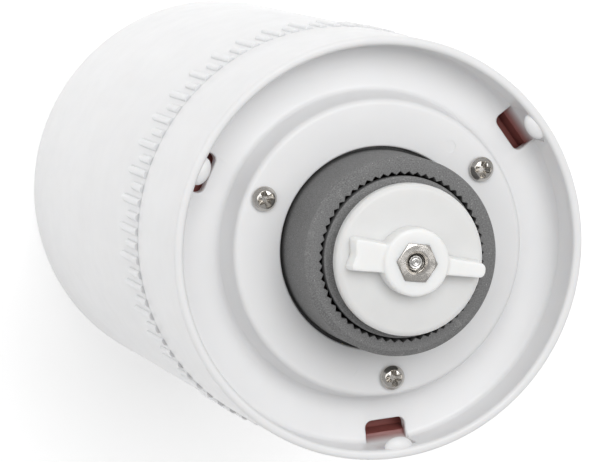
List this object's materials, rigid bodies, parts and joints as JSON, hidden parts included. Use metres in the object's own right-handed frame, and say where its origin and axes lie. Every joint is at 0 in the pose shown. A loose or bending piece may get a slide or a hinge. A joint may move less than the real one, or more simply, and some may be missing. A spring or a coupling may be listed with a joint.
{
  "type": "pepper mill",
  "caption": "Upright cylindrical pepper mill: jar with ribbed grip, turning head with a raised ceramic burr, winged adjusting knob and lift-off refill.",
  "frame": {"origin": "centre of the flat base, on the surface that the mill stands on", "axes": "+Z along the mill's axis from the base to the grinder; +X is the direction 22.3 degrees anticlockwise, seen from above, from the first screw and window"},
  "size_m": [0.0658, 0.066, 0.1173],
  "materials": {
    "shell": "moulded white plastic, soft gloss",
    "knob": "slightly translucent natural nylon, satin",
    "liner": "red-brown moulded plastic, satin",
    "burr_ceramic": "unglazed dark grey sintered ceramic with pale specks",
    "housing": "natural white moulded plastic",
    "acetal": "ivory low-friction plastic",
    "rubber": "soft matt rubber",
    "steel": "plain stainless steel",
    "nickel": "bright nickel plate"
  },
  "bodies": {
    "jar": {"jar_shell": "shell", "foot_ring": "rubber", "jar_liner": "liner"},
    "drive": {"drive_spider": "liner", "seal_ring": "rubber", "drive_shaft": "steel", "shaft_clip": "steel", "shaft_bush": "acetal"},
    "head": {"head_shell": "shell", "burr_housing": "housing", "stator_burr": "burr_ceramic", "slip_ring": "acetal", "retaining_ring": "steel", "housing_screw_1": "nickel", "housing_screw_2": "nickel", "housing_screw_3": "nickel"},
    "rotor": {"rotor_burr": "burr_ceramic", "rotor_core": "housing", "compression_spring": "steel"},
    "knob": {"adjusting_knob": "knob", "hex_nut": "nickel"}
  },
  "joints": [
    {"name": "head_lift_off", "type": "slide", "parent": "jar", "child": "drive", "axis": [0, 0, 1], "range_m": [0, 0.026]},
    {"name": "head_turn", "type": "hinge", "parent": "drive", "child": "head", "pos_m": [0, 0, 0.0885], "axis": [0, 0, 1], "continuous": true},
    {"name": "burr_gap", "type": "slide", "parent": "drive", "child": "rotor", "axis": [0, 0, 1], "range_m": [-0.001, 0.001], "deforming": ["compression_spring"]},
    {"name": "knob_turn", "type": "hinge", "parent": "rotor", "child": "knob", "pos_m": [0, 0, 0.112], "axis": [0, 0, 1], "range_deg": [-720, 720]}
  ],
  "couplings": [
    {"joint": "knob_turn", "follows": "burr_gap", "rad_per_m": 12566}
  ]
}
